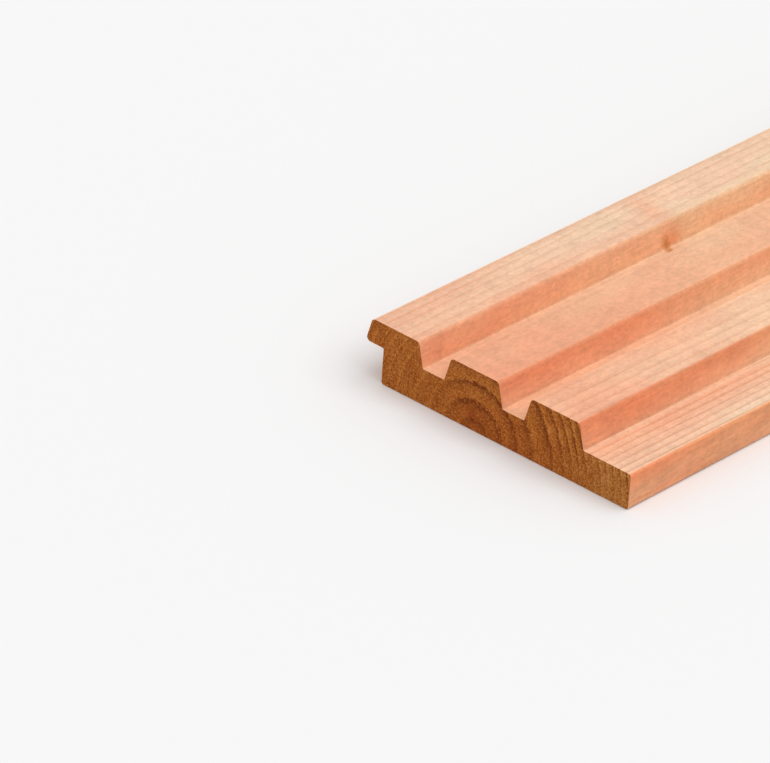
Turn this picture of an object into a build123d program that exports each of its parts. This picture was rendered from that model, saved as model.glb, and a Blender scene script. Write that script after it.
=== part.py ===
import os
from math import cos, radians, tan

from build123d import *

# Stock: millimetres and degrees. X runs along the board, Y across it with the lip
# on the +Y side, and Z up from the back to the slat faces.
board_length = 3000
board_thickness = 28

# Slats: bars of rhombus section that stand on one web
slat_count = 3
slat_face = 26
slat_pitch = 44
groove_depth = 11.5
side_angle = 15

# Lap joint: the lip of one board covers the flange of the next
lip_reach = 9.5
flange_width = 25.5
lap_clearance = 0.3

# Cutter roundings
slat_radius = 2
nose_radius = 2
root_radius = 0.6
edge_radius = 1.2

# Heights
web_thickness = board_thickness - groove_depth
lip_bottom = web_thickness + lap_clearance

# Widths. The sides lean, so a slat is wider at its foot, and the rounded nose of the
# lip stops short of the sharp corner that the leaning side would reach.
side_slope = tan(radians(side_angle))
slat_foot = slat_face + 2 * groove_depth * side_slope
sharp_nose = slat_face / 2 + (board_thickness - lip_bottom) * side_slope
nose_setback = nose_radius * (side_slope + 1 / cos(radians(side_angle)) - 1)
slat_row = (slat_count - 1) * slat_pitch
board_width = sharp_nose - nose_setback + slat_row + slat_foot / 2 + flange_width

# Places across the board, from the middle of its whole width
nose_y = board_width / 2
flange_y = -board_width / 2
rebate_y = nose_y - lip_reach
slat_row_y = flange_y + flange_width + slat_foot / 2 + slat_row / 2

with BuildPart() as board:
    with BuildSketch(Plane.YZ.offset(-board_length / 2)) as section:
        # The web, from the edge of the flange to the wall of the rebate
        with Locations((flange_y, 0)):
            Rectangle(rebate_y - flange_y, web_thickness, align=(Align.MIN, Align.MIN))

        # The row of slats. The first one overhangs the web and makes the lip.
        with Locations((slat_row_y, web_thickness)):
            with GridLocations(slat_pitch, 0, slat_count, 1):
                Trapezoid(slat_foot, groove_depth, 90 - side_angle, align=(Align.CENTER, Align.MIN))

        # The rebate below the lip, raised by the clearance over the next flange
        with Locations((rebate_y, 0)):
            Rectangle(slat_foot, lip_bottom, align=(Align.MIN, Align.MIN), mode=Mode.SUBTRACT)

        # Inside corners: each foot of a slat, then the corner of the rebate
        feet = section.vertices().group_by(Axis.Y)[1].sort_by(Axis.X)[1:]
        fillet(feet, root_radius)
        rebate_corner = section.vertices().sort_by_distance((rebate_y, lip_bottom))[0]
        fillet(rebate_corner, root_radius)

        # Outside corners: the nose, the slat faces, the flange edge and the back
        fillet(section.vertices().sort_by(Axis.X)[-1], nose_radius)
        fillet(section.vertices().group_by(Axis.Y)[-1], slat_radius)
        fillet(section.vertices().group_by(Axis.X)[0], edge_radius)
        fillet(section.vertices().group_by(Axis.Y)[0].sort_by(Axis.X)[-1], edge_radius)

    # Both ends are sawn square
    extrude(amount=board_length)

board.part.label = "board"

os.makedirs("parts", exist_ok=True)
export_step(board.part, "parts/board.step")

print(f"board {board_length} x {board_width:.2f} x {board_thickness} mm")
print(f"section {section.sketch.area:.0f} mm2, volume {board.part.volume / 1e9:.5f} m3")
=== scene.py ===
from math import cos, e, pi, radians, sin, tan

import bmesh
import bpy
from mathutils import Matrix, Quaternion, Vector


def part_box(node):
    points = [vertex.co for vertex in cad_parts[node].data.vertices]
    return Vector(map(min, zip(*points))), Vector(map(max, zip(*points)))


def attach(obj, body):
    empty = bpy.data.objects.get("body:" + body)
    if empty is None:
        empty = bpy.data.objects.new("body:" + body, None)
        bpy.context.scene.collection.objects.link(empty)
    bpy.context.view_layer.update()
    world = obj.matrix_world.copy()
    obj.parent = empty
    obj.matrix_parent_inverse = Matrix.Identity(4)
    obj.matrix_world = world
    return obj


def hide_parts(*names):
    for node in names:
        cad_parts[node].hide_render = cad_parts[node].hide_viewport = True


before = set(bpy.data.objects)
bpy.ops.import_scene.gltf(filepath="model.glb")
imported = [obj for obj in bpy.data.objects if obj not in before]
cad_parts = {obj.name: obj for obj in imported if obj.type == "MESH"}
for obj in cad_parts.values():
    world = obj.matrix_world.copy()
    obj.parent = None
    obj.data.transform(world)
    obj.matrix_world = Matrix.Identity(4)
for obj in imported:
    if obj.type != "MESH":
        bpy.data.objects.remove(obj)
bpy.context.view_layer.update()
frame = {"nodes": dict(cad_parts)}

boardLow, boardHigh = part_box("board")
perMetre = 1000.0       # the wood is described in millimetres
print("frame loaded:", ", ".join(frame["nodes"]))


# Shader and geometry nodes are written as sums and products of wires

class Wire:  # one output socket: maths on it adds the Math nodes
    def __init__(self, net, socket):
        self.net = net
        self.socket = socket

    def maths(self, operation, *others):
        values = dict(enumerate((self, *others)))
        return self.net.add("ShaderNodeMath", {"operation": operation}, values)

    def __add__(self, other):
        return self.maths("ADD", other)

    def __radd__(self, other):
        return self.maths("ADD", other)

    def __sub__(self, other):
        return self.maths("SUBTRACT", other)

    def __rsub__(self, other):
        return self.net.add("ShaderNodeMath", {"operation": "SUBTRACT"}, {0: other, 1: self})

    def __mul__(self, other):
        return self.maths("MULTIPLY", other)

    def __truediv__(self, other):
        return self.maths("DIVIDE", other)

    def __pow__(self, other):
        return self.maths("POWER", other)

    def rise(self, start, end):  # a smooth step from 0 at start to 1 at end
        sockets = {"Value": self, "From Min": start, "From Max": end}
        return self.net.add("ShaderNodeMapRange", {"interpolation_type": "SMOOTHSTEP"}, sockets)

    def bell(self, centre, width):  # 1 at centre, and about a third one width away
        offset = (self - centre) / width
        return (offset * offset * -1).maths("EXPONENT")

    def ranged(self, spread, least):  # 0 to 1 becomes least to least + spread
        return self * spread + least

    def centred(self):  # noise about 0 instead of about a half
        return self - 0.5


class Net:  # one node tree
    def __init__(self, tree):
        self.tree = tree

    def add(self, kind, settings=None, sockets=None, output=None):
        node = self.tree.nodes.new(kind)
        for name, value in (settings or {}).items():
            setattr(node, name, value)
        for name, value in (sockets or {}).items():
            if isinstance(name, int):
                socket = node.inputs[name]
            else:
                socket = next(one for one in node.inputs if one.enabled and one.name == name)
            if isinstance(value, Wire):
                self.tree.links.new(value.socket, socket)
            else:
                socket.default_value = value
        shown = [one for one in node.outputs if one.enabled]
        found = [one for one in shown if one.name == output] or shown
        return Wire(self, found[0]) if found else node

    def vector(self, operation, first, second):
        return self.add("ShaderNodeVectorMath", {"operation": operation}, {0: first, 1: second})

    def scaled(self, first, factor):
        return self.add("ShaderNodeVectorMath", {"operation": "SCALE"}, {0: first, "Scale": factor})

    def axis(self, vector, name):
        return self.add("ShaderNodeSeparateXYZ", {}, {0: vector}, name)

    def mixed(self, factor, first, second):
        return self.add("ShaderNodeMix", {"data_type": "RGBA"}, {"Factor": factor, "A": first, "B": second})

    def noise(self, place, size, detail=2.0, fineness=0.5):  # size is that of one blotch
        shrunk = self.vector("DIVIDE", place, size)
        sockets = {"Vector": shrunk, "Scale": 1.0, "Detail": detail, "Roughness": fineness}
        return self.add("ShaderNodeTexNoise", {}, sockets, "Fac")

    def chance(self, number):  # one random value for each whole number
        return self.add("ShaderNodeTexWhiteNoise", {"noise_dimensions": "1D"}, {"W": number}, "Value")


# The stem that the board was sawn from. A zone is where a change starts and where it is full,
# as a distance from the pith. Noise is given as the size of a blotch, its detail and its fineness.

stem = {
    "nearEnd": boardLow.x * perMetre,
    "pith": (11.5, -2.0),          # across the board and up, at the near end
    "driftAcross": (-3.0, 460.0),  # how far the pith wanders, and over what length
    "driftUp": (2.0, 430.0),
    "wobble": 0.8,
    "wobbleSize": (340.0, 26.0, 26.0),
    "wobbleZone": (0.0, 25.0),
    "taper": 0.0048,               # how much a ring widens with each millimetre along
    "taperZone": (5.0, 50.0),
    "lipSideGrowth": 1.4,
    "lipSideZone": (10.0, 45.0),
    "innerRing": 9.0,              # ring width near the pith
    "outerRing": 3.7,              # and towards the bark
    "slowsAt": 48.0,
    "slowsOver": 4.0,
    "firstRing": -0.12,
    "goodYears": [(12.0, 8.0, 0.3), (30.0, 9.0, 0.45)],  # how far out, how wide, share of a ring
    "yearSeed": 0.37,
    "branchSlope": 0.05,
    "branchSpread": 0.4,           # below 1, a branch is wider across the stem than along it
    "branchZone": (2.0, 14.0),
    "branchAlive": (0.4, 0.6),     # what a living branch adds to the size of a dead one
    "diesOver": 6.0,
    "ragged": ((4.0, 3.0, 3.0), 3.0, 0.7),
    "raggedBy": 5.0,
    "coreEdge": (0.3, 1.6),        # in radii of the core
    "bulge": 0.8,
    "haloOffset": 3.5,             # the red wood lies on one side of a branch
    "branches": [
        {"along": 152.5, "aim": 33.0, "core": 2.2, "halo": 6.0, "dies": 42.0},
        {"along": 655.0, "aim": 118.0, "core": 3.4, "halo": 8.0, "dies": 90.0},
        {"along": 1130.0, "aim": 14.0, "core": 2.6, "halo": 7.0, "dies": 90.0},
        {"along": 1610.0, "aim": 152.0, "core": 3.0, "halo": 7.5, "dies": 90.0},
        {"along": 2140.0, "aim": 66.0, "core": 3.8, "halo": 9.0, "dies": 90.0},
        {"along": 2690.0, "aim": 171.0, "core": 2.4, "halo": 6.5, "dies": 90.0},
    ],
}


def growStem(net, metres):
    place = net.scaled(metres, perMetre)
    along = net.axis(place, "X") - stem["nearEnd"]
    reach, length = stem["driftAcross"]
    across = net.axis(place, "Y") - stem["pith"][0] - (along / length).maths("SINE") * reach
    reach, length = stem["driftUp"]
    up = net.axis(place, "Z") - stem["pith"][1] - (along / length).maths("SINE") * reach
    radius = (across * across + up * up).maths("SQRT")
    wobble = net.noise(place, stem["wobbleSize"]).centred()
    radius = radius + wobble * 2.0 * stem["wobble"] * radius.rise(*stem["wobbleZone"])
    radius = radius - along * stem["taper"] * radius.rise(*stem["taperZone"])
    radius = radius + across.rise(*stem["lipSideZone"]) * stem["lipSideGrowth"]

    # Each branch starts at the pith, and the rings bulge round it
    coreStart, coreEnd = stem["coreEdge"]
    core = halo = None
    for branch in stem["branches"]:
        aim = radians(branch["aim"])
        out = across * cos(aim) + up * sin(aim)
        aside = up * cos(aim) - across * sin(aim)
        off = along - branch["along"] - out * stem["branchSlope"]
        distance = (off * off + aside * aside * stem["branchSpread"]).maths("SQRT")
        alive = 1 - out.rise(branch["dies"] - stem["diesOver"], branch["dies"] + stem["diesOver"])
        grown = out.rise(*stem["branchZone"]) * alive.ranged(*stem["branchAlive"])
        ragged = net.noise(place, *stem["ragged"]).centred() * stem["raggedBy"]
        heart = 1 - (distance + ragged).rise(branch["core"] * coreStart, branch["core"] * coreEnd)
        heart = heart * grown * alive
        beside = off - stem["haloOffset"]
        reddened = (beside * beside + aside * aside).maths("SQRT") + ragged
        ring = reddened.bell(0.0, branch["halo"]) * grown
        radius = radius - distance.bell(0.0, branch["halo"]) * grown * branch["core"] * stem["bulge"]
        core = heart if core is None else core.maths("MAXIMUM", heart)
        halo = ring if halo is None else halo.maths("MAXIMUM", ring)

    # Rings are wide at first and narrower from a certain age
    slower = 1 / stem["outerRing"] - 1 / stem["innerRing"]
    slowing = ((radius - stem["slowsAt"]) / stem["slowsOver"]).maths("EXPONENT") + 1.0
    count = radius / stem["innerRing"] + slowing.maths("LOGARITHM", e) * slower * stem["slowsOver"]
    count = count + stem["firstRing"]
    for centre, width, share in stem["goodYears"]:
        count = count + radius.bell(centre, width) * share
    return {
        "place": place,
        "along": along,
        "across": across,
        "radius": radius,
        "count": count,
        "year": count.maths("FLOOR"),
        "core": core,
        "halo": halo,
    }


# The board: its section is modelled from a block, and the skin gets the relief of the wood

boardShape = {
    "webThickness": 0.0165,
    "lipClearance": 0.0003,
    "slats": 3,
    "slatFace": 0.026,
    "slatPitch": 0.044,
    "sideAngle": 15,
    "lipReach": 0.0095,
    "flangeWidth": 0.0255,
    "slatRadius": 0.002,
    "rootRadius": 0.0006,
    "edgeRadius": 0.0012,
    "roundSteps": 4,
    "gridStep": 0.0012,
    "nearZone": 0.28,      # this much of the near end has its stations closer together
    "nearCuts": 55,
    "farCuts": 79,
    "endFacing": 0.7,      # a face that looks along the board more than this is an end
    "smoothAngle": 35,
}

sameSpot = 0.00001         # corners this close lie at one place
cutTolerance = 0.000001
mergeDistance = 0.00005
flatAngle = 0.001          # faces that turn less than this become one
longShare = 0.99           # of its length, that a long edge runs along the board
rightAngle = 90


def chooseOnly(item):
    bpy.ops.object.select_all(action="DESELECT")
    item.select_set(True)
    bpy.context.view_layer.objects.active = item


def selectWhere(kind, test):
    bpy.ops.mesh.select_mode(type=kind)
    bpy.ops.mesh.select_all(action="DESELECT")
    mesh = bpy.context.edit_object.data
    shape = bmesh.from_edit_mesh(mesh)
    for item in {"VERT": shape.verts, "EDGE": shape.edges, "FACE": shape.faces}[kind]:
        if test(item):
            item.select_set(True)
    bmesh.update_edit_mesh(mesh)


def near(value, target):
    return abs(value - target) < sameSpot


def cutAcross(place, normal):
    bpy.ops.mesh.bisect(plane_co=place, plane_no=normal, threshold=cutTolerance)


def edgeCentre(edge):
    return (edge.verts[0].co + edge.verts[1].co) / 2


def isLong(edge):
    run = edge.verts[1].co - edge.verts[0].co
    return abs(run.x) > longShare * run.length


def roundLongEdges(places, radius, turn):
    def wanted(edge):
        spot = edgeCentre(edge)
        return isLong(edge) and any(near(spot.y, y) and near(spot.z, z) for y, z in places)

    selectWhere("EDGE", wanted)
    bpy.ops.mesh.bevel(
        offset_type="OFFSET",
        offset=radius * tan(radians(turn) / 2),
        segments=boardShape["roundSteps"],
        profile=0.5,
        affect="EDGES",
    )


def modelBoard():
    shape = boardShape
    lean = tan(radians(shape["sideAngle"]))
    webTop = boardLow.z + shape["webThickness"]
    lipBottom = webTop + shape["lipClearance"]
    depth = boardHigh.z - webTop
    halfFace = shape["slatFace"] / 2
    halfFoot = halfFace + depth * lean
    rebate = boardHigh.y - shape["lipReach"]
    lowestSlat = boardLow.y + shape["flangeWidth"] + halfFoot
    slats = [lowestSlat + shape["slatPitch"] * number for number in range(shape["slats"])]
    noseY = slats[-1] + halfFace + (boardHigh.z - lipBottom) * lean

    # The web is a block
    size = Vector((boardHigh.x - boardLow.x, rebate - boardLow.y, webTop - boardLow.z))
    centre = Vector((boardLow.x, boardLow.y, boardLow.z)) + size / 2
    bpy.ops.object.select_all(action="DESELECT")
    bpy.ops.mesh.primitive_cube_add(size=1, location=centre, scale=size)
    board = bpy.context.object
    board.name = "dressedBoard"
    bpy.ops.object.transform_apply(location=True, rotation=True, scale=True)
    chooseOnly(board)
    bpy.ops.object.mode_set(mode="EDIT")

    # Slats rise between cuts along their feet, except that the last one overhangs at the lip
    feet = [middle + side * halfFoot for middle in slats for side in (-1, 1)][:-1]
    for foot in feet:
        bpy.ops.mesh.select_all(action="SELECT")
        cutAcross((0, foot, 0), (0, 1, 0))

    def underSlat(face):
        spot = face.calc_center_median()
        return near(spot.z, webTop) and any(abs(spot.y - middle) < halfFoot for middle in slats)

    selectWhere("FACE", underSlat)
    bpy.ops.mesh.extrude_region_move(TRANSFORM_OT_translate={"value": (0, 0, depth)})
    for number, foot in enumerate(feet):
        selectWhere("VERT", lambda corner: near(corner.co.z, boardHigh.z) and near(corner.co.y, foot))
        inward = lean * depth * (1 if number % 2 == 0 else -1)
        bpy.ops.transform.translate(value=(0, inward, 0))

    # The lip grows out of the wall above the rebate
    selectWhere("FACE", lambda face: near(face.calc_center_median().y, rebate))
    cutAcross((0, 0, lipBottom), (0, 0, 1))

    def lipWall(face):
        spot = face.calc_center_median()
        return near(spot.y, rebate) and spot.z > lipBottom

    selectWhere("FACE", lipWall)
    bpy.ops.mesh.extrude_region_move(TRANSFORM_OT_translate={"value": (0, noseY - rebate, 0)})
    selectWhere("VERT", lambda corner: near(corner.co.z, boardHigh.z) and near(corner.co.y, noseY))
    bpy.ops.transform.translate(value=(0, (lipBottom - boardHigh.z) * lean, 0))
    bpy.ops.mesh.select_all(action="SELECT")
    bpy.ops.mesh.dissolve_limited(angle_limit=flatAngle)

    # Cutter roundings
    arrises = [(middle + side * halfFace, boardHigh.z) for middle in slats for side in (-1, 1)]
    roundLongEdges(arrises, shape["slatRadius"], rightAngle - shape["sideAngle"])
    roundLongEdges([(noseY, lipBottom)], shape["slatRadius"], rightAngle + shape["sideAngle"])
    roots = [(foot, webTop) for foot in feet]
    roundLongEdges(roots, shape["rootRadius"], rightAngle - shape["sideAngle"])
    roundLongEdges([(rebate, lipBottom)], shape["rootRadius"], rightAngle)
    outer = [(boardLow.y, boardLow.z), (boardLow.y, webTop), (rebate, boardLow.z)]
    roundLongEdges(outer, shape["edgeRadius"], rightAngle)

    # A grid across the section, close enough to carry the growth rings
    for axis, normal in ((1, (0, 1, 0)), (2, (0, 0, 1))):
        span = boardHigh[axis] - boardLow[axis]
        count = round(span / shape["gridStep"])
        for number in range(1, count):
            place = [0, 0, 0]
            place[axis] = boardLow[axis] + span * number / count
            bpy.ops.mesh.select_all(action="SELECT")
            cutAcross(place, normal)
    bpy.ops.mesh.select_all(action="SELECT")
    bpy.ops.mesh.remove_doubles(threshold=mergeDistance)

    # Stations along it, closer together at the near end
    border = boardLow.x + shape["nearZone"]
    cutAcross((border, 0, 0), (1, 0, 0))
    for side, cuts in ((-1, shape["nearCuts"]), (1, shape["farCuts"])):
        selectWhere("EDGE", lambda edge: isLong(edge) and (edgeCentre(edge).x - border) * side > 0)
        bpy.ops.mesh.subdivide(number_cuts=cuts)
    bpy.ops.mesh.select_all(action="SELECT")
    bpy.ops.mesh.normals_make_consistent(inside=False)
    bpy.ops.object.mode_set(mode="OBJECT")
    return board


relief = {
    "ridge": 0.00006,                  # how proud the dark wood of a ring stands
    "ridgeZone": (8.0, 30.0),
    "branchRise": 1.5,                 # in ridges
    "sunk": 0.4,                       # the pale wood, in ridges too
    "endTurn": (0.3, 0.7),             # ridges stop where a face turns to an end
    "sawMark": 0.00006,
    "sawMarks": ((50.0, 2.5, 6.0), 3.0),
}


def addRelief(board):
    group = bpy.data.node_groups.new("woodRelief", "GeometryNodeTree")
    group.interface.new_socket("Geometry", in_out="INPUT", socket_type="NodeSocketGeometry")
    group.interface.new_socket("Geometry", in_out="OUTPUT", socket_type="NodeSocketGeometry")
    net = Net(group)
    skin = net.add("NodeGroupInput")
    place = net.add("GeometryNodeInputPosition")
    normal = net.add("GeometryNodeInputNormal")
    wood = growStem(net, place)
    endwise = net.axis(normal, "X")

    # Dark wood stands proud of the pale wood, and each branch is a low bump
    wave = (wood["count"] * 2 * pi).maths("COSINE").ranged(0.5, 0.5)
    ridge = wave * wave * wood["radius"].rise(*relief["ridgeZone"])
    ridge = ridge + wood["core"] * relief["branchRise"] - relief["sunk"]
    ridge = ridge * relief["ridge"] * (1 - endwise.maths("ABSOLUTE").rise(*relief["endTurn"]))
    raised = net.scaled(normal, ridge)

    # The saw leaves upright marks on both ends
    marks = net.noise(wood["place"], *relief["sawMarks"]).centred()
    marks = marks * 2 * relief["sawMark"] * endwise
    sawn = net.add("ShaderNodeCombineXYZ", {}, {"X": marks})
    offset = net.vector("ADD", raised, sawn)
    moved = net.add("GeometryNodeSetPosition", {}, {"Geometry": skin, "Offset": offset})
    net.add("NodeGroupOutput", {}, {"Geometry": moved})

    modifier = board.modifiers.new("woodRelief", "NODES")
    modifier.node_group = group
    bpy.ops.object.modifier_apply(modifier=modifier.name)


# The finishes. Colours are linear, as the shader takes them, and a tint multiplies one. Zones
# run across the board from the pith, towards the lip above 0 and the flange below it, and
# heights run up from the back.

def newMaterial(name):
    material = bpy.data.materials.new(name)
    material.use_nodes = True
    material.node_tree.nodes.clear()
    return material, Net(material.node_tree)


def tinted(net, factor, colour, tint):
    return net.mixed(factor, colour, net.vector("MULTIPLY", colour, tint))


def finishSurface(net, colour, roughness, height, finish):
    bump = net.add("ShaderNodeBump", {}, {"Height": height, "Distance": finish["depth"], "Strength": 1.0})
    shader = net.add("ShaderNodeBsdfPrincipled", {}, {
        "Base Color": colour,
        "Roughness": roughness,
        "Specular IOR Level": finish["specular"],
        "Normal": bump,
    })
    net.add("ShaderNodeOutputMaterial", {}, {"Surface": shader})


planed = {
    "heart": (0.895, 0.515, 0.308, 1.0),
    "outer": (0.90, 0.60, 0.392, 1.0),
    "heartEdge": (28.0, 58.0),              # from the pith outwards
    "lipTint": (1.0, 1.09, 1.14),
    "lipZone": (22.0, 34.0),
    "flangeTint": (1.038, 1.047, 1.049),
    "flangeZone": (-10.5, -13.0),
    "paintedFloorLight": (1.0, 1.09, 1.13),         # the groove floors, made paler as painted light
    "floorHeight": (17.0, 20.0),
    "floorsEnd": (-58.0, -62.0),
    "rimTint": (1.0, 1.22, 1.32),           # the outer part of the flange
    "rimZone": (-62.0, -82.0),

    # The sides, which get painted shade that darkens them towards the flange, and how far a face has turned
    # towards the flange or the lip to count as one
    "flangeFacing": (-0.10, -0.58),
    "lipFacing": (0.45, 0.95),
    "innerSide": (0.90, 0.56, 0.325, 1.0),  # by the lip
    "outerSideShade": (0.85, 0.437, 0.23, 1.0),  # and by the flange, darker with painted shade
    "sideZone": (10.0, -50.0),
    "flangeSideShade": (0.96, 0.537, 0.27, 1.0),
    "flangeSideZone": (-70.0, -80.0),
    "upTheSide": (17.0, 27.0),
    "beyondSlats": (-60.0, -70.0),
    "flangeLift": 12.0,                     # the flange's side is lower down than the slats'
    "gradedZone": (25.0, -5.0),             # from here on a side is painted paler low, as bounce light off the floor, and darker high, as shade
    "paintedBounceLow": (1.0, 1.10, 1.18),
    "paintedShadeHigh": (1.0, 0.87, 0.80),

    # Thin lines along the slats: painted shade at the feet, a painted highlight and painted shade at the
    # arrises, and a darker line beside them
    "paintedFootShade": (0.92, 0.93, 0.95),         # painted shade where a side meets the floor
    "footStarts": (15.0, 16.4),
    "footEnds": (17.2, 19.0),
    "slatHeight": (24.5, 26.5),
    "paintedArrisHighlight": (1.11, 1.11, 1.08),       # a painted highlight on the lip's side of each slat
    "highlightTurn": (0.04, 0.15),
    "besideArris": (0.965, 0.95, 0.945),    # and a darker line on the level wood beside it
    "besidePlace": 22.9,                    # on the middle slat, from the board's centre line
    "besideWidth": 0.75,
    "paintedArrisShade": (0.94, 0.92, 0.91),        # painted shade on the flange's side
    "shadeTurn": (-0.72, 0.17),

    # Growth rings
    "ringTint": (0.82, 0.64, 0.52),
    "waver": ((55.0, 2.5, 2.5), 2.0),
    "waverBy": 0.35,
    "darkening": 4.0,
    "darkEnds": (0.88, 1.0),                # in shares of a ring
    "yearStrength": (0.6, 0.7),
    "clearFrom": (42.0, 49.0),              # from the pith outwards
    "clearContrast": 0.78,
    "clearestFrom": (60.0, 66.0),
    "clearestContrast": 0.65,
    "leastContrast": 0.08,
    "lipFadeZone": (15.0, 35.0),
    "lipFade": 0.15,
    "patchySize": (120.0, 2.2, 2.2),
    "patchy": (1.2, 0.4),
    "sideFade": 0.6,

    # What the planer leaves, and soft patches
    "fuzz": ((16.0, 11.0, 11.0), 4.0, 0.9),
    "specks": ((2.4, 1.6, 1.6), 1.0, 0.8),
    "fibres": ((38.0, 0.7, 0.7), 3.0),
    "figure": ((4.5, 26.0, 26.0), 2.0),
    "streaks": ((9.0, 1.6, 1.6), 3.0, 0.8),  # on the sides only
    "linesPerRing": 6.0,
    "lineDetail": 3.0,
    "light": {                               # how much each of them lightens and darkens
        "fuzz": 0.48,
        "specks": 0.34,
        "streaks": 0.4,
        "figure": 0.15,
        "fibres": 0.12,
        "lines": 0.12,
    },
    "pinkTint": (1.0, 0.90, 0.89),
    "pink": ((45.0, 22.0, 22.0), 1.0, 0.5),
    "pinkEdge": (0.35, 0.65),
    "floorPink": 0.6,                       # how much less pink a floor is

    # Both ends have reddened
    "endBlush": (0.98, 0.78, 0.74),
    "blushLength": 190.0,
    "blush": 0.9,
    "floorBlush": 0.28,                     # how much less a floor has reddened
    "sideBlush": 0.4,                       # and how much more a side

    # Branches
    "haloTint": (0.95, 0.66, 0.58),
    "haloHeight": (16.6, 18.6),
    "haloShare": (0.7, 0.3),
    "knot": (0.60, 0.24, 0.07, 1.0),
    "knotShare": 0.95,
    "knotHeight": (18.5, 23.0),
    "knotFade": 0.6,                        # high up on a side

    "roughness": 0.55,
    "fibreRoughness": 0.2,
    "ringSheen": 0.08,
    "fibreBump": 0.5,
    "fuzzBump": 0.8,
    "depth": 0.0001,
    "specular": 0.3,
}


def planedWood():
    material, net = newMaterial("planedWood")
    spot = net.add("ShaderNodeTexCoord", {}, {}, "Object")
    facing = net.add("ShaderNodeTexCoord", {}, {}, "Normal")
    wood = growStem(net, spot)
    place, radius, across = wood["place"], wood["radius"], wood["across"]
    height = net.axis(place, "Z")
    turned = net.axis(facing, "Y")
    sides = turned.rise(*planed["flangeFacing"]).maths("MAXIMUM", turned.rise(*planed["lipFacing"]))

    # Late wood darkens slowly through a year's ring and stops sharply at its edge
    waver = net.noise(place, *planed["waver"]).centred()
    age = (wood["count"] + waver * planed["waverBy"]).maths("FRACT")
    dark = (age ** planed["darkening"]) * (1 - age.rise(*planed["darkEnds"]))
    strength = net.chance(wood["year"] + stem["yearSeed"]).ranged(*planed["yearStrength"])
    contrast = radius.rise(*planed["clearFrom"]) * planed["clearContrast"]
    contrast = contrast + radius.rise(*planed["clearestFrom"]) * planed["clearestContrast"]
    contrast = contrast + planed["leastContrast"]
    contrast = contrast * (1 - across.rise(*planed["lipFadeZone"]) * planed["lipFade"])
    patchy = net.noise(place, planed["patchySize"]).ranged(*planed["patchy"])
    lines = dark * strength * contrast * patchy * (1 - sides * planed["sideFade"])
    lines = lines.maths("MINIMUM", 1.0)

    # Level faces
    tone = net.mixed(radius.rise(*planed["heartEdge"]), planed["heart"], planed["outer"])
    tone = tinted(net, across.rise(*planed["lipZone"]), tone, planed["lipTint"])
    tone = tinted(net, across.rise(*planed["flangeZone"]), tone, planed["flangeTint"])
    floor = (1 - height.rise(*planed["floorHeight"])) * (1 - across.rise(*planed["floorsEnd"]))
    # Painted light: the groove floors are made paler
    tone = tinted(net, floor, tone, planed["paintedFloorLight"])
    tone = tinted(net, across.rise(*planed["rimZone"]), tone, planed["rimTint"])

    # Sides: their own tone with painted shade, darker and redder towards the flange
    shadedSideTone = net.mixed(across.rise(*planed["sideZone"]), planed["innerSide"], planed["outerSideShade"])
    shadedSideTone = net.mixed(across.rise(*planed["flangeSideZone"]), shadedSideTone, planed["flangeSideShade"])
    beyond = across.rise(*planed["beyondSlats"])
    lift = (height + beyond * planed["flangeLift"]).rise(*planed["upTheSide"])
    # Painted light on the sides: paler low down for bounce off the floor, darker high up for shade
    shadeGrade = across.rise(*planed["gradedZone"])
    shadedSideTone = tinted(net, shadeGrade * (1 - lift), shadedSideTone, planed["paintedBounceLow"])
    shadedSideTone = tinted(net, shadeGrade * lift, shadedSideTone, planed["paintedShadeHigh"])
    # Painted shade along the foot of each side
    foot = height.rise(*planed["footStarts"]) * (1 - height.rise(*planed["footEnds"])) * (1 - beyond)
    shadedSideTone = tinted(net, foot, shadedSideTone, planed["paintedFootShade"])

    # Arrises, with a painted highlight on the lip's side and painted shade on the flange's side, and the
    # level wood beside them
    onSlat = height.rise(*planed["slatHeight"])
    pitch = boardShape["slatPitch"] * perMetre
    beside = ((net.axis(place, "Y") - planed["besidePlace"]) / pitch + 0.5).maths("FRACT")
    beside = (beside * pitch - pitch / 2).bell(0.0, planed["besideWidth"])
    tone = tinted(net, beside * onSlat, tone, planed["besideArris"])
    # A painted highlight along the arris on the lip's side
    tone = tinted(net, turned.rise(*planed["highlightTurn"]) * onSlat, tone, planed["paintedArrisHighlight"])
    # The sides take their tone, with its painted shade
    tone = net.mixed(sides, tone, shadedSideTone)
    # Painted shade along the arris on the flange's side
    tone = tinted(net, turned.bell(*planed["shadeTurn"]) * onSlat, tone, planed["paintedArrisShade"])
    tone = tinted(net, lines, tone, planed["ringTint"])

    # Fuzz that the planer leaves, thin lines inside the rings, and soft patches
    fuzz = net.noise(place, *planed["fuzz"])
    specks = net.noise(place, *planed["specks"])
    fibres = net.noise(place, *planed["fibres"])
    fineLines = net.add(
        "ShaderNodeTexNoise",
        {"noise_dimensions": "1D"},
        {"W": wood["count"] * planed["linesPerRing"], "Scale": 1.0, "Detail": planed["lineDetail"]},
        "Fac",
    )
    figure = net.noise(place, *planed["figure"])
    streaks = net.noise(place, *planed["streaks"])
    share = planed["light"]
    light = fuzz.centred() * share["fuzz"] + specks.centred() * share["specks"]
    light = light + streaks.centred() * sides * share["streaks"]
    light = light + figure.centred() * share["figure"] + fibres.centred() * share["fibres"]
    light = light + fineLines.centred() * share["lines"] * contrast
    tone = net.scaled(tone, light + 1.0)
    pink = net.noise(place, *planed["pink"]).rise(*planed["pinkEdge"])
    tone = tinted(net, pink * (1 - floor * planed["floorPink"]), tone, planed["pinkTint"])

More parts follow.
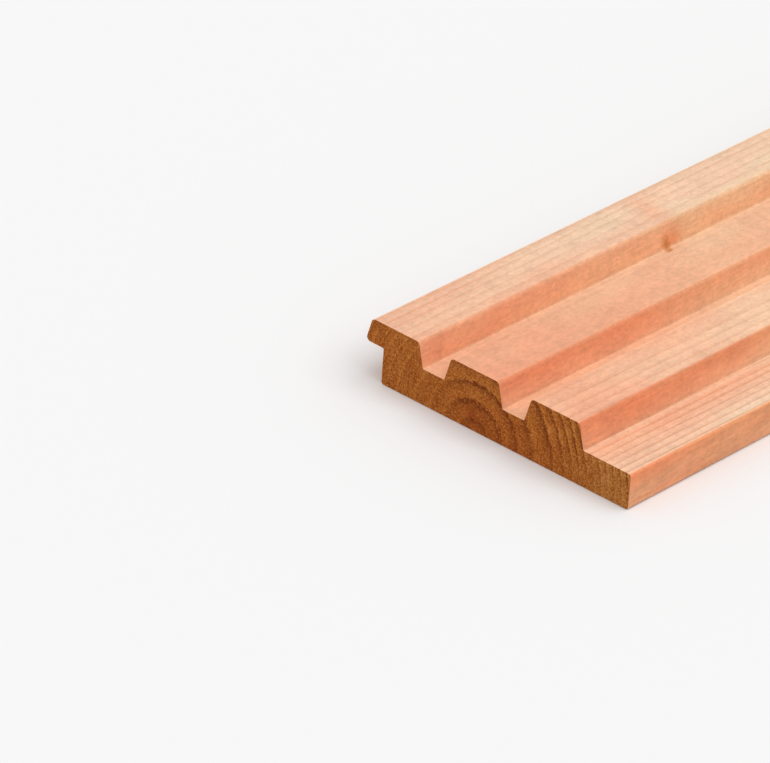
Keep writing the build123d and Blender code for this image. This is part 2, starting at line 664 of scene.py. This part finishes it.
    # The ends have reddened more than the middle of the board, most of all on the sides
    fromEnd = wood["along"].maths("MINIMUM", (boardHigh.x - boardLow.x) * perMetre - wood["along"])
    blush = 1 - fromEnd.rise(0.0, planed["blushLength"])
    tone = tinted(net, blush * (planed["blush"] - floor * planed["floorBlush"]), tone, planed["endBlush"])
    tone = tinted(net, blush * sides * planed["sideBlush"], tone, planed["endBlush"])

    # Branches, with the red wood beside them
    halo = wood["halo"] * height.rise(*planed["haloHeight"]).ranged(*planed["haloShare"])
    tone = tinted(net, halo, tone, planed["haloTint"])
    faded = height.rise(*planed["knotHeight"]) * sides * planed["knotFade"]
    tone = net.mixed(wood["core"] * (planed["knotShare"] - faded), tone, planed["knot"])

    roughness = planed["roughness"] + fibres.centred() * planed["fibreRoughness"]
    roughness = roughness - lines * planed["ringSheen"]
    bump = fibres * planed["fibreBump"] + fuzz * planed["fuzzBump"]
    finishSurface(net, tone, roughness, bump, planed)
    return material


sawn = {
    "pale": (0.70, 0.232, 0.044, 1.0),
    "dark": (0.37, 0.078, 0.003, 1.0),
    "fuzz": ((1.0, 7.0, 7.0), 4.0, 0.95),
    "fuzzShare": 2.4,
    "specks": ((1.0, 0.8, 1.0), 2.0, 0.8),
    "specksShare": 4.0,
    "heartTint": (0.93, 0.81, 0.72),
    "heartPlace": (-12.0, 30.0),            # its middle and its width
    "heartHeight": (11.0, 20.0),
    "flangeTint": (1.08, 1.33, 1.75),
    "flangeZone": (-45.0, -75.0),

    # Growth rings
    "lipZone": (6.0, 22.0),
    "torn": ((2.0, 4.0, 3.0), 5.0, 0.9),
    "tornBy": 1.1,                          # in rings
    "lipTorn": 0.98,                        # how much less towards the lip
    "gaps": ((2.0, 1.7, 1.7), 3.0, 0.8),
    "gapShare": (4.5, -0.9),
    "earlyTint": (1.35, 1.55, 1.75),
    "earlyEnds": (0.0, 0.45),               # in shares of a ring
    "clearZone": (-12.0, -32.0),
    "clearHeight": (9.0, 17.0),
    "clearShare": (0.6, 0.3),
    "lipEarlyEnds": (0.02, 0.22),
    "lipEarly": 0.55,
    "lateWood": (0.24, 0.046, 0.004, 1.0),
    "darkening": 3.4,
    "darkEnds": (0.86, 1.0),
    "yearStrength": (0.4, 0.8),
    "lipFadeZone": (3.0, 22.0),
    "lipFade": 0.7,
    "flangeFadeZone": (-50.0, -62.0),
    "flangeFade": 0.3,
    "strongHeight": (5.0, 15.0),
    "strongShare": (0.45, 0.55),
    "lineEdge": (0.0, 0.9),

    "splinter": (0.78, 0.35, 0.095, 1.0),
    "splinters": ((1.0, 1.5, 0.8), 1.0),
    "splinterEdge": (0.58, 0.70),
    "splinterShare": 0.5,
    "pithTint": (0.66, 0.45, 0.45),
    "pithPlace": (0.0, 6.0),                # its middle and its width
    "pithHeight": (5.5, 4.0),
    "pithSpecks": (0.4, 0.55),
    "roughness": 0.85,
    "depth": 0.00015,
    "specular": 0.15,
}


def sawnWood():
    material, net = newMaterial("sawnWood")
    spot = net.add("ShaderNodeTexCoord", {}, {}, "Object")
    wood = growStem(net, spot)
    place, across = wood["place"], wood["across"]
    height = net.axis(place, "Z")

    # Open pores and torn fibres
    fuzz = net.noise(place, *sawn["fuzz"])
    specks = net.noise(place, *sawn["specks"])
    grain = fuzz.centred() * sawn["fuzzShare"] + specks.centred() * sawn["specksShare"] + 0.5
    tone = net.mixed(grain.maths("MINIMUM", 1.0).maths("MAXIMUM", 0.0), sawn["dark"], sawn["pale"])

    # The wood round the pith is redder, and the wood of the flange paler
    heart = across.bell(*sawn["heartPlace"]) * (1 - height.rise(*sawn["heartHeight"]))
    tone = tinted(net, heart, tone, sawn["heartTint"])
    tone = tinted(net, across.rise(*sawn["flangeZone"]), tone, sawn["flangeTint"])

    # Rings are torn at their edges, and they fade out towards the lip
    lipSide = across.rise(*sawn["lipZone"])
    torn = net.noise(place, *sawn["torn"]).centred()
    gaps = net.noise(place, *sawn["gaps"])
    age = (wood["count"] + torn * (sawn["tornBy"] - lipSide * sawn["lipTorn"])).maths("FRACT")
    dark = (age ** sawn["darkening"]) * (1 - age.rise(*sawn["darkEnds"]))
    clear = across.rise(*sawn["clearZone"]) * height.rise(*sawn["clearHeight"])
    pale = (1 - age.rise(*sawn["earlyEnds"])) * clear.ranged(*sawn["clearShare"]) * (1 - lipSide)
    pale = pale + (1 - age.rise(*sawn["lipEarlyEnds"])) * lipSide * sawn["lipEarly"]
    strength = net.chance(wood["year"] + stem["yearSeed"]).ranged(*sawn["yearStrength"])
    strength = strength * (1 - across.rise(*sawn["lipFadeZone"]) * sawn["lipFade"])
    strength = strength * (1 - across.rise(*sawn["flangeFadeZone"]) * sawn["flangeFade"])
    strength = strength * height.rise(*sawn["strongHeight"]).ranged(*sawn["strongShare"])
    tone = tinted(net, pale, tone, sawn["earlyTint"])
    lines = (dark * strength * gaps.ranged(*sawn["gapShare"])).rise(*sawn["lineEdge"])
    tone = net.mixed(lines, tone, sawn["lateWood"])

    # Bright splinters, and a stain at the pith
    splinters = net.noise(place, *sawn["splinters"]).rise(*sawn["splinterEdge"])
    tone = net.mixed(splinters * sawn["splinterShare"], tone, sawn["splinter"])
    stain = across.bell(*sawn["pithPlace"]) * height.bell(*sawn["pithHeight"])
    tone = tinted(net, stain * specks.rise(*sawn["pithSpecks"]), tone, sawn["pithTint"])
    finishSurface(net, tone, sawn["roughness"], grain, sawn)
    return material


def dressBoard():
    board = modelBoard()
    print("board modelled:", len(board.data.polygons), "faces")
    addRelief(board)
    print("relief added")
    board.data.materials.append(planedWood())
    board.data.materials.append(sawnWood())
    for face in board.data.polygons:
        face.material_index = 1 if abs(face.normal.x) > boardShape["endFacing"] else 0
    chooseOnly(board)
    bpy.ops.object.shade_smooth_by_angle(angle=radians(boardShape["smoothAngle"]))
    modifier = board.modifiers.new("flatFaces", "WEIGHTED_NORMAL")  # roundings don't shade the flats
    modifier.keep_sharp = True
    bpy.ops.object.modifier_apply(modifier=modifier.name)
    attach(board, "root")
    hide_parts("board")
    print("board dressed")


# The studio: a white floor, an even sky and one soft sun from the flange's side

studio = {
    "floorSize": 400.0,
    "floorDrop": 0.0002,
    "white": 0.947,         # what the camera sees of the floor and the sky
    "floorBounce": 0.55,    # and what lights the board
    "sky": 0.66,
    "sun": 0.33,            # share of the light on a level face
    "sunHeight": 65,
    "sunFrom": -75,         # degrees from +X towards +Y
    "sunSize": 60,
    "sunDistance": 5,
}


def grey(level):
    return (level, level, level, 1.0)


def seenDirectly(net):  # by the camera, in a reflection or through glass
    seen = net.add("ShaderNodeLightPath", {}, {}, "Is Camera Ray")
    for name in ("Is Glossy Ray", "Is Transmission Ray"):
        seen = seen.maths("MAXIMUM", net.add("ShaderNodeLightPath", {}, {}, name))
    return seen


def buildStudio():
    material, net = newMaterial("studioFloor")
    paint = net.mixed(seenDirectly(net), grey(studio["floorBounce"]), grey(studio["white"]))
    surface = net.add("ShaderNodeBsdfDiffuse", {}, {"Color": paint})
    net.add("ShaderNodeOutputMaterial", {}, {"Surface": surface})
    bpy.ops.mesh.primitive_plane_add(size=studio["floorSize"], location=(0, 0, -studio["floorDrop"]))
    floor = bpy.context.object
    floor.name = "studioFloor"
    floor.data.materials.append(material)

    world = bpy.data.worlds.new("studioSky")
    bpy.context.scene.world = world
    world.use_nodes = True
    world.node_tree.nodes.clear()
    net = Net(world.node_tree)
    sky = net.mixed(seenDirectly(net), grey(studio["sky"]), grey(studio["white"]))
    backdrop = net.add("ShaderNodeBackground", {}, {"Color": sky})
    net.add("ShaderNodeOutputWorld", {}, {"Surface": backdrop})

    height, turn = radians(studio["sunHeight"]), radians(studio["sunFrom"])
    fromSun = Vector((cos(turn) * cos(height), sin(turn) * cos(height), sin(height)))
    bpy.ops.object.light_add(type="SUN", location=fromSun * studio["sunDistance"])
    sun = bpy.context.object
    sun.name = "softSun"
    sun.rotation_euler = fromSun.to_track_quat("Z", "Y").to_euler()
    sun.data.energy = studio["sun"] * pi / sin(height)
    sun.data.angle = radians(studio["sunSize"])
    print("studio built")


# The camera stands as it did for the photograph

photoCamera = {
    "place": (-3.40660, -1.57468, 1.44948),
    "heading": 40.627,   # degrees from +X towards +Y
    "dip": 29.954,
    "roll": 3.974,
    "lens": 327.27,
    "sensor": 36.0,
}


def placeCamera():
    heading, dip = radians(photoCamera["heading"]), radians(photoCamera["dip"])
    ahead = Vector((cos(heading) * cos(dip), sin(heading) * cos(dip), -sin(dip)))
    roll = Quaternion((0, 0, 1), radians(photoCamera["roll"]))
    bpy.ops.object.camera_add(location=photoCamera["place"])
    camera = bpy.context.object
    camera.rotation_mode = "QUATERNION"
    camera.rotation_quaternion = ahead.to_track_quat("-Z", "Y") @ roll
    camera.data.lens = photoCamera["lens"]
    camera.data.sensor_width = photoCamera["sensor"]
    bpy.context.scene.camera = camera
    print("camera placed")


placeCamera()
buildStudio()
dressBoard()
bpy.context.scene.view_settings.view_transform = "Standard"
